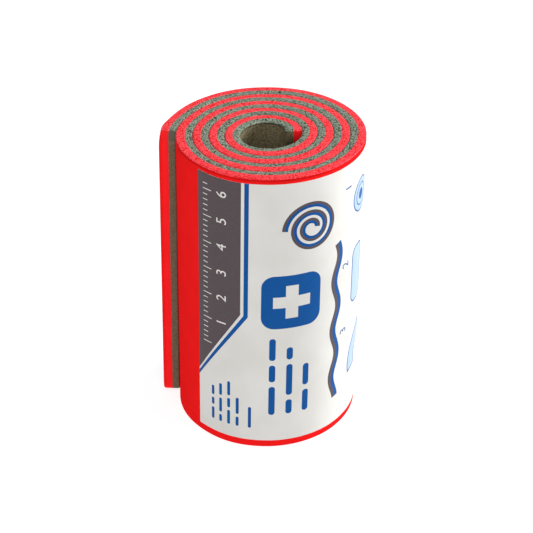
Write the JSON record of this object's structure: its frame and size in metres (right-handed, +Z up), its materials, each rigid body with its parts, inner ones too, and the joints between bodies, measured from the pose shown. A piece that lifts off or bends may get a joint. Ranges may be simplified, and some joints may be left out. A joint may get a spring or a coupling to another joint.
{
  "type": "rolled foam splint",
  "caption": "Padded aluminium splint strip with a red and a charcoal foam face, rolled up on end with a printed wrap round it.",
  "frame": {"origin": "middle of the roll's outline on the surface that it stands on", "axes": "+Z up along the roll, -Y towards the middle of the printed wrap, -X towards the strip's tail"},
  "size_m": [0.0696, 0.0674, 0.108],
  "materials": {
    "foam_outer": "matte closed-cell foam, red",
    "foam_inner": "matte closed-cell foam, charcoal green",
    "label": "smooth printed film, white"
  },
  "bodies": {
    "root": {"foam_outer": "foam_outer", "foam_inner": "foam_inner", "label": "label"}
  },
  "joints": []
}
